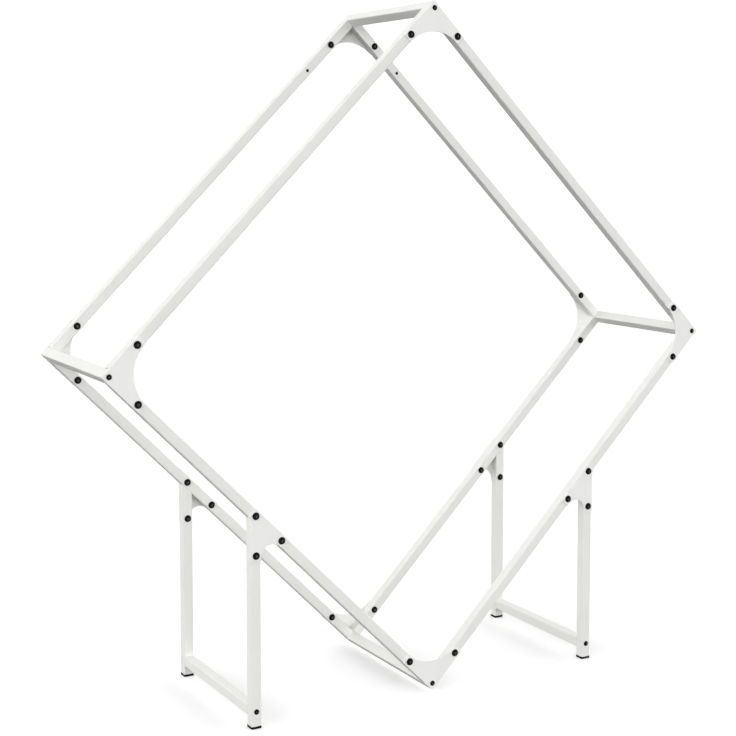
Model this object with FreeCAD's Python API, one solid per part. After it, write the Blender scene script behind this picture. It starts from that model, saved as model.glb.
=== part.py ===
import FreeCAD, Part
import math
import os

# Firewood rack: two square tube frames stand on their corners, one behind the other.
# Crossbars join the frames at the four corners, plates bolt every joint, and four short
# legs under the lower rails hold the frames upright.
# Millimetres. X runs to the right, Y from front to back, Z up.
# The origin is on the floor, under the middle of the rack.

# Frame
overall_width = 1000.0  # from the left corner to the right corner, over square tube edges
frame_depth = 250.0  # from the front face of the front tubes to the rear face of the rear tubes
ground_clearance = 2.4  # lowest corner of the frames above the floor
leg_offset = 283.7  # centre line of a leg from the middle of the rack
stretcher_height = 24.0  # centre line of a stretcher above the floor

# Square tube
tube_size = 15.0
tube_wall = 1.2
tube_inner_radius = 0.4

# Plates
plate_thickness = 1.5
bolt_pitch = 55.0  # from a corner to its rail bolts, and between the bolts of a leg plate
plate_end_margin = 8.0  # from the last bolt to the end of the plate
plate_corner_radius = 2.0
plate_edge_radius = 0.4  # round the outer face of a plate
corner_plate_land = 0.5  # straight edge between the concave arc and the end of the plate
leg_plate_land = 4.0

# Large button-head bolts and the sleeve nuts that they screw into
bolt_diameter = 6.0
bolt_head_lip = 2.25  # head beyond the shank, all round
bolt_head_height = 3.3
bolt_socket_width = 4.0
bolt_socket_depth = 2.0
bolt_tip_gap = 3.0  # from the tip of the bolt to the bottom of the nut's thread
sleeve_wall = 0.9
sleeve_head_lip = 1.25  # head beyond the sleeve, all round
sleeve_end_gap = 2.8  # from the open end of the sleeve to the outer wall of the tube
sleeve_floor = 1.0  # solid stretch between the nut's thread and its head

# Small button-head bolts and the threaded plugs that they screw into
small_bolt_diameter = 4.0
small_head_lip = 1.8
small_head_height = 2.2
small_socket_width = 2.5
small_socket_depth = 1.3
small_bolt_grip = 14.0  # length screwed into the plug
plug_length = 25.0
plug_corner_gap = 0.5  # added to the corner radius of whatever is pushed into a tube

# Details that all bolts share
head_rim = 0.4  # straight edge below the dome of a head
head_flat = 0.4  # flat ring round the socket
tip_chamfer = 0.6

# Feet
foot_flange_height = 3.5
foot_flange_overhang = 0.3
foot_edge_radius = 0.8
foot_plug_gap = 5.0  # from the top of the foot to the bolt of the stretcher

# Wall holes in the upper rails of the rear frame
wall_hole_offset = 112.5  # from the top corner, along the rail
wall_hole_diameter = 5.0

# Fits, measured on the diameter
hole_clearance = 0.4
thread_clearance = 0.2

# Axes, and directions along and across the lower left rail
origin = FreeCAD.Vector(0.0, 0.0, 0.0)
x_axis = FreeCAD.Vector(1.0, 0.0, 0.0)
y_axis = FreeCAD.Vector(0.0, 1.0, 0.0)
z_axis = FreeCAD.Vector(0.0, 0.0, 1.0)
down_rail = (x_axis - z_axis).normalize()
across_rail = (x_axis + z_axis).normalize()

# Worked out from the sizes above
root_two = math.sqrt(2.0)
half_tube = tube_size / 2.0
tube_bore = tube_size - 2.0 * tube_wall
tube_outer_radius = tube_inner_radius + tube_wall
corner_reach = overall_width / 2.0 - half_tube * root_two
half_side = corner_reach / root_two
rail_length = 2.0 * half_side - tube_size
front_face = -frame_depth / 2.0
front_middle = front_face + half_tube
inner_face = front_face + tube_size
plate_face = front_face - plate_thickness
plate_reach = bolt_pitch + plate_end_margin
bolt_hole = bolt_diameter + hole_clearance
bolt_head_diameter = bolt_diameter + 2.0 * bolt_head_lip
nut_thread_diameter = bolt_diameter + thread_clearance
sleeve_diameter = nut_thread_diameter + 2.0 * sleeve_wall
sleeve_head_diameter = sleeve_diameter + 2.0 * sleeve_head_lip
sleeve_hole = sleeve_diameter + hole_clearance
sleeve_length = tube_size - tube_wall - sleeve_end_gap
nut_thread_depth = sleeve_length - sleeve_floor
bolt_length = plate_thickness + tube_wall + sleeve_end_gap + nut_thread_depth - bolt_tip_gap
small_hole = small_bolt_diameter + hole_clearance
small_head_diameter = small_bolt_diameter + 2.0 * small_head_lip
plug_thread_diameter = small_bolt_diameter + thread_clearance
foot_plug_length = stretcher_height - foot_flange_height - small_bolt_diameter / 2.0 - foot_plug_gap

# Pieces of a frame are drawn on a level square, at its lowest left corner or lowest rail.
# Turns in degrees, as seen from the front, take them to their places in the square on its corner.
frame_centre = FreeCAD.Vector(0.0, 0.0, ground_clearance + overall_width / 2.0)
level_corner = frame_centre - (x_axis + z_axis) * half_side
corner_turns = {}
rail_turns = {}
corner_names = ("bottom", "right", "top", "left")
rail_names = ("lower_right", "upper_right", "upper_left", "lower_left")
for quarter, (corner_name, rail_name) in enumerate(zip(corner_names, rail_names)):
    corner_turns[corner_name] = 45.0 + 90.0 * quarter
    rail_turns[rail_name] = 45.0 + 90.0 * quarter

nodes = {}


def turned(shape, degrees):
    """A copy turned anticlockwise about the middle of the frames, as seen from the front."""
    copy = shape.copy()
    copy.rotate(frame_centre, y_axis, -degrees)
    return copy


def turned_point(point, degrees):
    """A point turned the same way."""
    spin = FreeCAD.Rotation(y_axis, -degrees)
    return FreeCAD.Placement(origin, spin, frame_centre).multVec(point)


def mirrored(shape, normal):
    """A copy mirrored in the plane through the origin."""
    return shape.mirror(origin, normal)


def lying_along(shape, direction, start):
    """A copy of a shape drawn along Z, laid along another direction from a start point."""
    copy = shape.copy()
    copy.Placement = FreeCAD.Placement(start, FreeCAD.Rotation(z_axis, direction))
    return copy


def rounded_bar(width, radius, length):
    """A square bar along Z from the origin, with rounded long edges."""
    bar = Part.makeBox(width, width, length, (x_axis + y_axis) * (-width / 2.0))
    long_edges = [edge for edge in bar.Edges if edge.BoundBox.ZLength > length / 2.0]
    return bar.makeFillet(radius, long_edges)


def square_tube(length):
    """A square tube along Z from the origin."""
    outside = rounded_bar(tube_size, tube_outer_radius, length)
    return outside.cut(rounded_bar(tube_bore, tube_inner_radius, length))


def rounded_outline(points, radii):
    """A closed wire through points, with an arc of its own radius at each point."""
    starts = []
    middles = []
    ends = []
    for index, point in enumerate(points):
        back = (points[index - 1] - point).normalize()
        ahead = (points[(index + 1) % len(points)] - point).normalize()
        half_angle = back.getAngle(ahead) / 2.0
        reach = radii[index] / math.tan(half_angle)
        rise = radii[index] / math.sin(half_angle) - radii[index]
        starts.append(point + back * reach)
        middles.append(point + (back + ahead).normalize() * rise)
        ends.append(point + ahead * reach)
    edges = []
    for index, radius in enumerate(radii):
        if radius > 0.0:
            edges.append(Part.Arc(starts[index], middles[index], ends[index]).toShape())
        edges.append(Part.makeLine(ends[index], starts[(index + 1) % len(points)]))
    return Part.Wire(edges)


def front_plate(points, radii):
    """A plate on the front face of the front frame, from an outline in the XZ plane."""
    face = Part.Face(rounded_outline(points, radii))
    face.translate(y_axis * plate_face)
    plate = face.extrude(y_axis * plate_thickness)
    half_way = plate_face + plate_thickness / 2.0
    outer_edges = [edge for edge in plate.Edges if edge.BoundBox.YMax < half_way]
    return plate.makeFillet(plate_edge_radius, outer_edges)


def corner_plate():
    """The plate of the lowest left corner of the level square: an L with a concave inner edge."""
    offsets = [
        (-half_tube, -half_tube),
        (plate_reach, -half_tube),
        (plate_reach, half_tube),
        (half_tube, half_tube),
        (half_tube, plate_reach),
        (-half_tube, plate_reach),
    ]
    points = [level_corner + x_axis * along + z_axis * up for along, up in offsets]
    arc_radius = plate_reach - half_tube - corner_plate_land
    round_corner = plate_corner_radius
    return front_plate(points, [round_corner, round_corner, 0.0, arc_radius, 0.0, round_corner])


def leg_plate(upper_bolt):
    """The plate that joins the left leg to the lower left rail."""
    inner_depth = half_tube * (root_two + 1.0)
    outer_depth = half_tube * (root_two - 1.0)
    offsets = [
        across_rail * half_tube - down_rail * plate_end_margin,
        across_rail * half_tube + down_rail * plate_reach,
        across_rail * -half_tube + down_rail * plate_reach,
        x_axis * half_tube - z_axis * inner_depth,
        x_axis * half_tube - z_axis * plate_reach,
        x_axis * -half_tube - z_axis * plate_reach,
        x_axis * -half_tube - z_axis * outer_depth,
        across_rail * -half_tube - down_rail * plate_end_margin,
    ]
    half_joint_angle = down_rail.getAngle(-z_axis) / 2.0
    arc_radius = (plate_reach - inner_depth - leg_plate_land) * math.tan(half_joint_angle)
    round_corner = plate_corner_radius
    radii = [round_corner, round_corner, 0.0, arc_radius, 0.0, round_corner, 0.0, 0.0]
    return front_plate([upper_bolt + offset for offset in offsets], radii)


def head_dome(diameter, height, socket_width):
    """A domed head on the XY plane, flat round the place of its socket."""
    radius = diameter / 2.0
    flat_radius = socket_width / math.sqrt(3.0) + head_flat
    centre = (radius**2 + head_rim**2 - flat_radius**2 - height**2) / (2.0 * (head_rim - height))
    dome_radius = math.hypot(radius, head_rim - centre)
    low_angle = math.atan2(head_rim - centre, radius)
    high_angle = math.atan2(height - centre, flat_radius)
    middle_angle = (low_angle + high_angle) / 2.0
    foot_point = x_axis * radius
    rim_point = foot_point + z_axis * head_rim
    dome_point = x_axis * (dome_radius * math.cos(middle_angle))
    dome_point += z_axis * (centre + dome_radius * math.sin(middle_angle))
    top_point = z_axis * height
    flat_point = top_point + x_axis * flat_radius
    profile = [
        Part.makeLine(origin, foot_point),
        Part.makeLine(foot_point, rim_point),
        Part.Arc(rim_point, dome_point, flat_point).toShape(),
        Part.makeLine(flat_point, top_point),
        Part.makeLine(top_point, origin),
    ]
    return Part.Face(Part.Wire(profile)).revolve(origin, z_axis, 360.0)


def hex_socket(height, width, depth):
    """The six-sided hole in the top of a head."""
    corner_radius = width / math.sqrt(3.0)
    floor = z_axis * (height - depth)
    corners = []
    for step in range(7):
        angle = math.radians(60.0 * step)
        corners.append(floor + (x_axis * math.cos(angle) + y_axis * math.sin(angle)) * corner_radius)
    return Part.Face(Part.makePolygon(corners)).extrude(z_axis * depth)


def shank(diameter, length):
    """A plain shank below the XY plane, with a chamfered tip."""
    radius = diameter / 2.0
    body = Part.makeCylinder(radius, length - tip_chamfer, origin, -z_axis)
    tip_start = z_axis * (tip_chamfer - length)
    tip = Part.makeCone(radius, radius - tip_chamfer, tip_chamfer, tip_start, -z_axis)
    return body.fuse(tip)


def large_bolt():
    """A plate bolt: head on the XY plane, shank down into the sleeve nut."""
    head = head_dome(bolt_head_diameter, bolt_head_height, bolt_socket_width)
    socket = hex_socket(bolt_head_height, bolt_socket_width, bolt_socket_depth)
    return head.fuse(shank(bolt_diameter, bolt_length)).cut(socket).removeSplitter()


def sleeve_nut():
    """A nut with a domed head on the XY plane and a threaded sleeve below it."""
    head = head_dome(sleeve_head_diameter, bolt_head_height, bolt_socket_width)
    socket = hex_socket(bolt_head_height, bolt_socket_width, bolt_socket_depth)
    sleeve = Part.makeCylinder(sleeve_diameter / 2.0, sleeve_length, origin, -z_axis)
    open_end = z_axis * -sleeve_length
    thread = Part.makeCylinder(nut_thread_diameter / 2.0, nut_thread_depth, open_end, z_axis)
    return head.fuse(sleeve).cut(thread).cut(socket).removeSplitter()


def small_bolt(clamped):
    """A small bolt: head on the XY plane, shank through what it clamps and into a plug."""
    head = head_dome(small_head_diameter, small_head_height, small_socket_width)
    socket = hex_socket(small_head_height, small_socket_width, small_socket_depth)
    return head.fuse(shank(small_bolt_diameter, clamped + small_bolt_grip)).cut(socket).removeSplitter()


def threaded_plug():
    """A plug pushed into a tube, along Z from its flush end."""
    bar = rounded_bar(tube_bore, tube_inner_radius + plug_corner_gap, plug_length)
    return bar.cut(Part.makeCylinder(plug_thread_diameter / 2.0, plug_length, origin, z_axis))


def foot_cap():
    """A foot on the XY plane: a flange under the tube, and a plug inside it."""
    flange_size = tube_size + 2.0 * foot_flange_overhang
    flange = rounded_bar(flange_size, tube_outer_radius + foot_flange_overhang, foot_flange_height)
    floor_edges = [edge for edge in flange.Edges if edge.BoundBox.ZMax < foot_flange_height / 2.0]
    flange = flange.makeFillet(foot_edge_radius, floor_edges)
    plug = rounded_bar(tube_bore, tube_inner_radius + plug_corner_gap, foot_plug_length)
    plug.translate(z_axis * foot_flange_height)
    return flange.fuse(plug).removeSplitter()


def drill(point, diameter, start, length):
    """A cylinder along Y for cutting a hole, from a depth Y on."""
    base = FreeCAD.Vector(point.x, start, point.z)
    return Part.makeCylinder(diameter / 2.0, length, base, y_axis)


def at_front(shape, point, depth):
    """A fastener drawn along Z, set on a face at a depth Y with its head to the front."""
    return lying_along(shape, -y_axis, FreeCAD.Vector(point.x, depth, point.z))


def at_back(shape, point, depth):
    """A fastener drawn along Z, set on a face at a depth Y with its head to the back."""
    return lying_along(shape, y_axis, FreeCAD.Vector(point.x, depth, point.z))


def add_pair(kind, place, shape):
    """Keep a piece of the front frame, and its mirror image in the rear frame."""
    nodes[kind + "_front_" + place] = shape
    nodes[kind + "_rear_" + place] = mirrored(shape, y_axis)


def add_four(kind, shape):
    """Keep a piece at the front left, and its mirror images at the other three places."""
    add_pair(kind, "left", shape)
    add_pair(kind, "right", mirrored(shape, x_axis))


def add_group(name, shapes):
    """Keep the fasteners of the front frame, and those of the rear frame, as one group."""
    nodes[name] = Part.makeCompound(shapes + [mirrored(shape, y_axis) for shape in shapes])


# Places of the fasteners, on the front frame
corner_points = [turned_point(level_corner, turn) for turn in corner_turns.values()]
rail_points = []
for turn in corner_turns.values():
    for along in (x_axis, z_axis):
        rail_points.append(turned_point(level_corner + along * bolt_pitch, turn))
upper_leg_point = frame_centre - x_axis * leg_offset + z_axis * (leg_offset - corner_reach)
leg_points = []
for step in (origin, down_rail * bolt_pitch, z_axis * -bolt_pitch):
    left_point = upper_leg_point + step
    leg_points.append(left_point)
    leg_points.append(FreeCAD.Vector(-left_point.x, left_point.y, left_point.z))
stretcher_points = {}
for side, sideways in (("left", -x_axis), ("right", x_axis)):
    stretcher_points[side] = sideways * leg_offset + z_axis * stretcher_height

# Holes for all of them: a large bolt goes through the plate and the outer wall of a tube, and
# its sleeve nut through the inner wall
drills = []
for point in rail_points + leg_points:
    drills.append(drill(point, bolt_hole, plate_face, plate_thickness + half_tube))
    drills.append(drill(point, sleeve_hole, front_middle, half_tube))
for point in corner_points:
    drills.append(drill(point, small_hole, plate_face, plate_thickness))
for point in stretcher_points.values():
    drills.append(drill(point, small_hole, front_face, tube_size))
drills = Part.makeCompound(drills)

# Rails
rail_start = frame_centre - x_axis * (rail_length / 2.0) - z_axis * half_side + y_axis * front_middle
level_rail = lying_along(square_tube(rail_length), x_axis, rail_start)
for place, turn in rail_turns.items():
    add_pair("rail", place, turned(level_rail, turn).cut(drills))

# Wall holes, through both walls of the upper rails of the rear frame
for place, sideways in (("upper_left", -x_axis), ("upper_right", x_axis)):
    down_from_top = (sideways - z_axis).normalize()
    hole_point = frame_centre + z_axis * corner_reach + down_from_top * wall_hole_offset
    wall_hole = drill(hole_point, wall_hole_diameter, -inner_face, tube_size)
    nodes["rail_rear_" + place] = nodes["rail_rear_" + place].cut(wall_hole)

# Crossbars, turned like the corners that they fill
level_crossbar = lying_along(square_tube(frame_depth), y_axis, level_corner + y_axis * front_face)
for place, turn in corner_turns.items():
    nodes["crossbar_" + place] = turned(level_crossbar, turn)

# Corner plates
level_plate = corner_plate()
for place, turn in corner_turns.items():
    add_pair("corner_plate", place, turned(level_plate, turn).cut(drills))

# Legs, each a tube that is cut off along the lower face of its rail
leg_start = FreeCAD.Vector(-leg_offset, front_middle, foot_flange_height)
leg_tube = lying_along(square_tube(upper_leg_point.z - foot_flange_height), z_axis, leg_start)
above_corner = level_corner - z_axis * half_tube + y_axis * front_face
above_rail = Part.makeBox(2.0 * half_side, tube_size, 2.0 * half_side, above_corner)
add_four("leg", leg_tube.cut(turned(above_rail, rail_turns["lower_left"])).cut(drills))

# Leg plates
add_four("leg_plate", leg_plate(upper_leg_point).cut(drills))

# Stretchers, from the front leg to the rear leg
stretcher_tube = square_tube(frame_depth - 2.0 * tube_size)
for side, point in stretcher_points.items():
    nodes["stretcher_" + side] = lying_along(stretcher_tube, y_axis, point + y_axis * inner_face)

# Feet
foot = foot_cap()
foot.translate(FreeCAD.Vector(-leg_offset, front_middle, 0.0))
add_four("foot", foot)

# Threaded plugs, flush with the ends of the crossbars and stretchers
plug = threaded_plug()
level_plug = lying_along(plug, y_axis, level_corner + y_axis * front_face)
add_group("crossbar_plugs", [turned(level_plug, turn) for turn in corner_turns.values()])
add_group("stretcher_plugs", [at_back(plug, point, inner_face) for point in stretcher_points.values()])

# Bolts and nuts
bolt = large_bolt()
nut = sleeve_nut()
crossbar_bolt = small_bolt(plate_thickness)
stretcher_bolt = small_bolt(tube_size)
add_group("corner_bolts", [at_front(bolt, point, plate_face) for point in rail_points])
add_group("corner_nuts", [at_back(nut, point, inner_face) for point in rail_points])
add_group("leg_bolts", [at_front(bolt, point, plate_face) for point in leg_points])
add_group("leg_nuts", [at_back(nut, point, inner_face) for point in leg_points])
add_group("crossbar_bolts", [at_front(crossbar_bolt, point, plate_face) for point in corner_points])
add_group("stretcher_bolts", [at_front(stretcher_bolt, p, front_face) for p in stretcher_points.values()])

os.makedirs("parts", exist_ok=True)
for name, shape in nodes.items():
    shape.exportStep(os.path.join("parts", name + ".step"))
    print(name, len(shape.Solids), shape.isValid(), round(shape.Volume, 1))
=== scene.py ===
import math

import bpy
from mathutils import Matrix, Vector


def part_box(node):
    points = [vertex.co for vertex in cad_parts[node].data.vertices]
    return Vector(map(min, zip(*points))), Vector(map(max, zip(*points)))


# Firewood rack: finishes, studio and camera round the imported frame.
# Metres, in the frame of the CAD model: X to the right, Y to the back, Z up from the floor.

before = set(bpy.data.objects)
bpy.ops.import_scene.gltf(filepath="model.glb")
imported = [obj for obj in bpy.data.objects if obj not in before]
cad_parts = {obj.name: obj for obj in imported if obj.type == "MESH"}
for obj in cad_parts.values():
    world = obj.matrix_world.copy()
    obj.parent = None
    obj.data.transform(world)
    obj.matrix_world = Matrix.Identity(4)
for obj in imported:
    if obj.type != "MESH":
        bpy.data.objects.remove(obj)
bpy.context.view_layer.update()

# Camera, fitted to the bolts and feet in a picture of 736 by 736 pixels
camera_place = (-1.1337, -1.9126, 0.7908)
camera_heading = math.radians(29.85)  # to the right of straight on
camera_dip = math.radians(4.43)  # below the horizon
camera_lens = 72.4  # millimetres, as is the sensor
camera_sensor = 36.0
camera_shift = -0.14  # share of the picture's width

# Studio light: an even ring of softboxes all round, and one soft lamp at the left
white = (1.0, 1.0, 1.0, 1.0)
ring_level = 2.92
ring_rise = (0.0, 0.2)  # sines of the heights between which the ring comes up to its level
ring_fall = (0.44, 0.69)  # and of those between which it goes down to nothing
backdrop_level = 1.0
lamp_target = (0.0, 0.0, 0.5)
lamp_place = (-6.0, -2.8, 4.9)
lamp_size = 4.0
lamp_power = 60.0

# Floor, and the wall round it
stage_radius = 14.0
stage_sides = 96
stage_tone = 0.95  # reflectance of both as they are seen
stage_bounce = 0.08  # reflectance for the light that they send on to the rack
floor_lift = 0.18  # light added to what is seen, so that it is white outside the shadow
wall_lift = 0.4
wall_height = 9.0

# Powder coat: reflectances, and the sizes of its unevenness, orange peel and grain
tube_coat = ((0.87, 0.87, 0.845, 1.0), (0.845, 0.845, 0.82, 1.0))
plate_coat = ((0.925, 0.925, 0.905, 1.0), (0.9, 0.9, 0.88, 1.0))
coat_patch_size = 0.09
coat_patch_detail = 3.0
coat_peel_size = 0.0024
coat_peel_detail = 1.5
coat_peel_height = 0.0002
coat_grain_size = 0.0004
coat_grain_detail = 1.0
coat_grain_height = 0.0001
coat_roughness = (0.7, 0.8)

# Painted shade: the inside of the rails, bare steel made near-black as the shade seen through the holes
painted_bore_shades = ((0.03, 0.03, 0.03, 1.0), (0.02, 0.02, 0.02, 1.0))
tube_wall = 0.0012

# Black steel of the bolts and nuts, and a painted highlight on the floors of their sockets
steel_shades = ((0.006, 0.006, 0.0063, 1.0), (0.003, 0.003, 0.0032, 1.0))
painted_socket_highlights = ((0.16, 0.16, 0.16, 1.0), (0.09, 0.09, 0.09, 1.0))
steel_grain_size = 0.0006
steel_grain_detail = 2.0
steel_grain_height = 0.000008
steel_roughness = (0.34, 0.46)
steel_gloss = 0.07
nut_head_height = 0.0033
large_socket_depth = 0.002
small_socket_depth = 0.0013
socket_tolerance = 0.00005
socket_level = 0.95  # least share of the normal along Y on a socket's floor

# Moulded plastic
foot_shades = ((0.006, 0.006, 0.006, 1.0), (0.003, 0.003, 0.003, 1.0))
plug_shades = ((0.04, 0.04, 0.04, 1.0), (0.025, 0.025, 0.025, 1.0))
pebble_size = 0.0005
pebble_detail = 2.0
pebble_height = 0.00002
plastic_roughness = (0.55, 0.7)
plastic_gloss = 0.05

# Range in which most of a noise lies, and the mix node's sockets for colours, which go by number
noise_range = (0.3, 0.7)
mix_first = 6
mix_second = 7
mix_result = 2


def empty_tree(owner):
    """The node tree of a material or world, with no nodes in it."""
    owner.use_nodes = True
    owner.node_tree.nodes.clear()
    return owner.node_tree


def add_node(tree, kind, inputs=None, **settings):
    """A new node; an input is given a value, or the socket that it is linked to."""
    made = tree.nodes.new(kind)
    for name, value in settings.items():
        setattr(made, name, value)
    for name, value in (inputs or {}).items():
        if isinstance(value, bpy.types.NodeSocket):
            tree.links.new(value, made.inputs[name])
        else:
            made.inputs[name].default_value = value
    return made


def calculate(tree, operation, *values):
    """A number worked out from others."""
    made = add_node(tree, "ShaderNodeMath", dict(enumerate(values)), operation=operation)
    return made.outputs["Value"]


def object_place(tree):
    """The place of a surface point in the frame of the CAD model."""
    return add_node(tree, "ShaderNodeTexCoord").outputs["Object"]


def axes(tree, vector):
    """The three parts of a vector, by the names of their axes."""
    return add_node(tree, "ShaderNodeSeparateXYZ", {"Vector": vector}).outputs


def noise(tree, size, detail):
    """A grey noise whose spots are about one size across."""
    inputs = {"Vector": object_place(tree), "Scale": 1.0 / size, "Detail": detail}
    return add_node(tree, "ShaderNodeTexNoise", inputs).outputs["Fac"]


def spread(tree, value, low, high):
    """A noise, taken from its usual range to another one."""
    inputs = {
        "Value": value,
        "From Min": noise_range[0],
        "From Max": noise_range[1],
        "To Min": low,
        "To Max": high,
    }
    return add_node(tree, "ShaderNodeMapRange", inputs).outputs["Result"]


def ease(tree, value, ends):
    """A smooth step from nothing at one end to one at the other."""
    inputs = {"Value": value, "From Min": ends[0], "From Max": ends[1]}
    made = add_node(tree, "ShaderNodeMapRange", inputs, interpolation_type="SMOOTHSTEP")
    return made.outputs["Result"]


def blend_colours(tree, share, first, second):
    """A colour between two others."""
    inputs = {"Factor": share, mix_first: first, mix_second: second}
    return add_node(tree, "ShaderNodeMix", inputs, data_type="RGBA").outputs[mix_result]


def bump(tree, height, distance, normal=None):
    """A bump of a height in metres, on top of another one if it is given."""
    inputs = {"Height": height, "Distance": distance, "Strength": 1.0}
    if normal is not None:
        inputs["Normal"] = normal
    return add_node(tree, "ShaderNodeBump", inputs).outputs["Normal"]


def painted_bore_shade_mask(tree):
    """One inside the rails, where their shade is painted; the rails' centre lines make two squares that
    stand on a corner.
    """
    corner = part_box("crossbar_left")
    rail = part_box("rail_rear_upper_left")
    reach = -(corner[0][0] + corner[1][0]) / 2.0
    height = (corner[0][2] + corner[1][2]) / 2.0
    depth = (rail[0][1] + rail[1][1]) / 2.0
    half_way_into_wall = (rail[1][1] - rail[0][1] - tube_wall) / 2.0
    place = axes(tree, object_place(tree))
    sideways = calculate(tree, "ABSOLUTE", place["X"])
    upwards = calculate(tree, "ABSOLUTE", calculate(tree, "SUBTRACT", place["Z"], height))
    past_square = calculate(tree, "SUBTRACT", calculate(tree, "ADD", sideways, upwards), reach)
    across = calculate(tree, "ABSOLUTE", calculate(tree, "DIVIDE", past_square, math.sqrt(2.0)))
    past_depth = calculate(tree, "SUBTRACT", calculate(tree, "ABSOLUTE", place["Y"]), depth)
    farther = calculate(tree, "MAXIMUM", across, calculate(tree, "ABSOLUTE", past_depth))
    return calculate(tree, "LESS_THAN", farther, half_way_into_wall)


def powder_coat(name, shades, paint_bore_shade=False):
    """Matte white powder coat: orange peel, fine grain and a faint unevenness of tone, with painted
    shade inside the rails if asked.
    """
    material = bpy.data.materials.new(name)
    tree = empty_tree(material)
    peel = noise(tree, coat_peel_size, coat_peel_detail)
    grain = noise(tree, coat_grain_size, coat_grain_detail)
    share = spread(tree, noise(tree, coat_patch_size, coat_patch_detail), 0.0, 1.0)
    colour = blend_colours(tree, share, *shades)
    # Painted shade: the inside of the rails near-black, as seen through the holes
    if paint_bore_shade:
        painted_tone = blend_colours(tree, share, *painted_bore_shades)
        colour = blend_colours(tree, painted_bore_shade_mask(tree), colour, painted_tone)
    shader = add_node(tree, "ShaderNodeBsdfPrincipled", {
        "Base Color": colour,
        "Roughness": spread(tree, peel, *coat_roughness),
        "Normal": bump(tree, grain, coat_grain_height, bump(tree, peel, coat_peel_height)),
    })
    add_node(tree, "ShaderNodeOutputMaterial", {"Surface": shader.outputs["BSDF"]})
    return material


def painted_socket_highlight_mask(tree):
    """One on the floors of the hexagon sockets, which lie level in known planes, where a lighter colour
    is painted as a highlight.
    """
    inner_face = -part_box("rail_front_upper_left")[1][1]
    planes = [
        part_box("corner_bolts")[1][1] - large_socket_depth,
        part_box("crossbar_bolts")[1][1] - small_socket_depth,
        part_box("stretcher_bolts")[1][1] - small_socket_depth,
        inner_face - nut_head_height + large_socket_depth,
    ]
    depth = calculate(tree, "ABSOLUTE", axes(tree, object_place(tree))["Y"])
    on_plane = 0.0
    for plane in planes:
        met = calculate(tree, "COMPARE", depth, plane, socket_tolerance)
        on_plane = calculate(tree, "MAXIMUM", on_plane, met)
    normal = add_node(tree, "ShaderNodeNewGeometry").outputs["True Normal"]
    facing = calculate(tree, "ABSOLUTE", axes(tree, normal)["Y"])
    return calculate(tree, "MULTIPLY", on_plane, calculate(tree, "GREATER_THAN", facing, socket_level))


def black_steel(name):
    """Black bolts and nuts: a thin satin finish with a fine grain, and a painted highlight on the
    socket floors.
    """
    material = bpy.data.materials.new(name)
    tree = empty_tree(material)
    grain = noise(tree, steel_grain_size, steel_grain_detail)
    share = spread(tree, grain, 0.0, 1.0)
    black = blend_colours(tree, share, *steel_shades)
    # Painted highlight: the socket floors lighter than the black steel round them
    painted_tone = blend_colours(tree, share, *painted_socket_highlights)
    shader = add_node(tree, "ShaderNodeBsdfPrincipled", {
        "Base Color": blend_colours(tree, painted_socket_highlight_mask(tree), black, painted_tone),
        "Roughness": spread(tree, grain, *steel_roughness),
        "Specular IOR Level": steel_gloss,
        "Normal": bump(tree, grain, steel_grain_height),
    })
    add_node(tree, "ShaderNodeOutputMaterial", {"Surface": shader.outputs["BSDF"]})
    return material


def moulded_plastic(name, shades):
    """Matte moulded plastic with a fine pebble."""
    material = bpy.data.materials.new(name)
    tree = empty_tree(material)
    pebble = noise(tree, pebble_size, pebble_detail)
    shader = add_node(tree, "ShaderNodeBsdfPrincipled", {
        "Base Color": blend_colours(tree, spread(tree, pebble, 0.0, 1.0), *shades),
        "Roughness": spread(tree, pebble, *plastic_roughness),
        "Specular IOR Level": plastic_gloss,
        "Normal": bump(tree, pebble, pebble_height),
    })
    add_node(tree, "ShaderNodeOutputMaterial", {"Surface": shader.outputs["BSDF"]})
    return material


def seen_directly(tree):
    """One for rays that show the background: from the camera, in gloss and through glass."""
    path = add_node(tree, "ShaderNodeLightPath").outputs
    mirrored = calculate(tree, "MAXIMUM", path["Is Glossy Ray"], path["Is Transmission Ray"])
    return calculate(tree, "MAXIMUM", path["Is Camera Ray"], mirrored)


def grey(level):
    """A colour without a hue."""
    return (level, level, level, 1.0)


def stage_material(name, lift):
    """A surface that is seen white, keeps the shadow and gives the rack a plain bounce."""
    material = bpy.data.materials.new(name)
    material.cycles.emission_sampling = "NONE"
    tree = empty_tree(material)
    bounce = add_node(tree, "ShaderNodeBsdfDiffuse", {"Color": grey(stage_bounce)})
    tone = add_node(tree, "ShaderNodeBsdfDiffuse", {"Color": grey(stage_tone)})
    glow = add_node(tree, "ShaderNodeEmission", {"Strength": lift})
    seen = add_node(tree, "ShaderNodeAddShader", {0: tone.outputs["BSDF"], 1: glow.outputs["Emission"]})
    surface = add_node(tree, "ShaderNodeMixShader", {
        "Fac": seen_directly(tree),
        1: bounce.outputs["BSDF"],
        2: seen.outputs["Shader"],
    })
    add_node(tree, "ShaderNodeOutputMaterial", {"Surface": surface.outputs["Shader"]})
    return material


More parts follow.
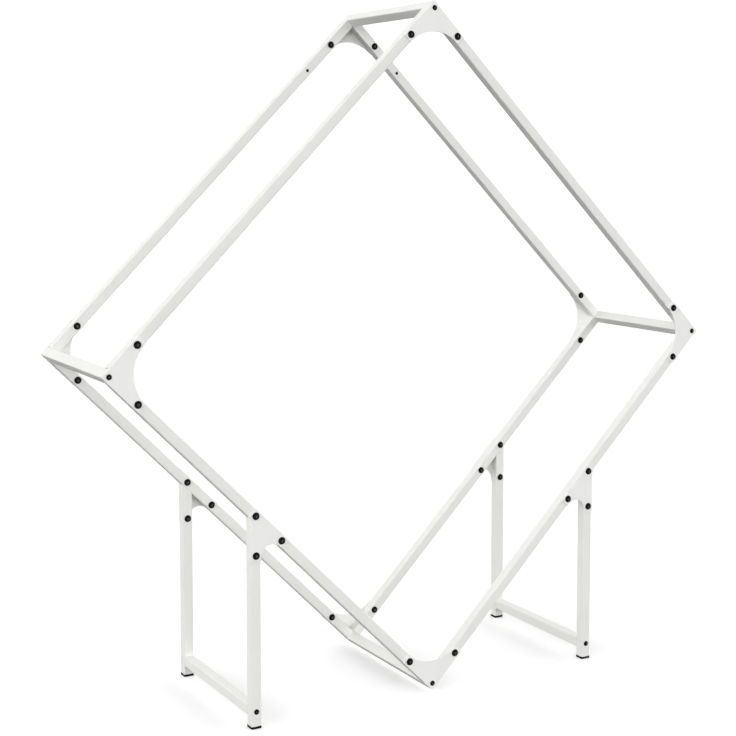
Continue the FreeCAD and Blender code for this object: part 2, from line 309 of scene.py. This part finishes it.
def make_world():
    """A ring of light round the rack, seen as plain white."""
    world = bpy.data.worlds.new("studio")
    tree = empty_tree(world)
    height = axes(tree, add_node(tree, "ShaderNodeTexCoord").outputs["Generated"])["Z"]
    below_fall = calculate(tree, "SUBTRACT", 1.0, ease(tree, height, ring_fall))
    band = calculate(tree, "MULTIPLY", ease(tree, height, ring_rise), below_fall)
    strength = calculate(tree, "MULTIPLY", band, ring_level)
    ring = add_node(tree, "ShaderNodeBackground", {"Color": white, "Strength": strength})
    backdrop = add_node(tree, "ShaderNodeBackground", {"Color": white, "Strength": backdrop_level})
    surface = add_node(tree, "ShaderNodeMixShader", {
        "Fac": seen_directly(tree),
        1: ring.outputs["Background"],
        2: backdrop.outputs["Background"],
    })
    add_node(tree, "ShaderNodeOutputWorld", {"Surface": surface.outputs["Shader"]})
    bpy.context.scene.world = world


def make_floor():
    """A wide round floor under the feet."""
    bpy.ops.mesh.primitive_circle_add(vertices=stage_sides, radius=stage_radius, fill_type="NGON")
    floor = bpy.context.object
    floor.name = "studio_floor"
    floor.data.materials.append(stage_material("studio_floor", floor_lift))


def make_wall():
    """A round wall at the edge of the floor, which only the camera sees."""
    bpy.ops.mesh.primitive_cylinder_add(
        vertices=stage_sides, radius=stage_radius, depth=wall_height, end_fill_type="NOTHING",
        location=(0.0, 0.0, wall_height / 2.0),
    )
    wall = bpy.context.object
    wall.name = "studio_wall"
    wall.data.materials.append(stage_material("studio_wall", wall_lift))
    wall.visible_diffuse = False
    wall.visible_glossy = False
    wall.visible_transmission = False
    wall.visible_shadow = False


def make_lamp():
    """A large soft lamp that looks at the middle of the rack."""
    data = bpy.data.lights.new("soft_lamp", "AREA")
    data.shape = "SQUARE"
    data.size = lamp_size
    data.energy = lamp_power
    lamp = bpy.data.objects.new("soft_lamp", data)
    bpy.context.scene.collection.objects.link(lamp)
    lamp.location = lamp_place
    aim = Vector(lamp_target) - Vector(lamp_place)
    lamp.rotation_euler = aim.to_track_quat("-Z", "Y").to_euler()
    lamp.visible_camera = False


def make_camera():
    """The camera at the angle of the picture."""
    data = bpy.data.cameras.new("camera")
    data.lens = camera_lens
    data.sensor_width = camera_sensor
    data.shift_y = camera_shift
    camera = bpy.data.objects.new("camera", data)
    bpy.context.scene.collection.objects.link(camera)
    camera.location = camera_place
    camera.rotation_euler = (math.pi / 2.0 - camera_dip, 0.0, -camera_heading)
    bpy.context.scene.camera = camera


def dress_nodes():
    """Gives each CAD node its finish, by its name or by the material of its slot."""
    plate_finish = powder_coat("plate_coat_finish", plate_coat)
    # The rails' coat, with painted shade inside them
    rail_coat_and_bore_shade = powder_coat("rail_coat_painted_bore_shade", tube_coat, paint_bore_shade=True)
    finishes = {
        "white_powder_coat": powder_coat("tube_coat_finish", tube_coat),
        # Black steel, with a painted highlight on the socket floors
        "black_steel": black_steel("black_steel_painted_socket_highlight"),
        "foot_plastic": moulded_plastic("foot_plastic_finish", foot_shades),
        "plug_plastic": moulded_plastic("plug_plastic_finish", plug_shades),
    }
    for name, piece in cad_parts.items():
        for slot in piece.material_slots:
            if "plate" in name:
                slot.material = plate_finish
            elif name.startswith("rail"):
                slot.material = rail_coat_and_bore_shade
            else:
                slot.material = finishes[slot.material.name]


dress_nodes()
make_world()
make_floor()
make_wall()
make_lamp()
make_camera()
bpy.context.scene.view_settings.view_transform = "Standard"
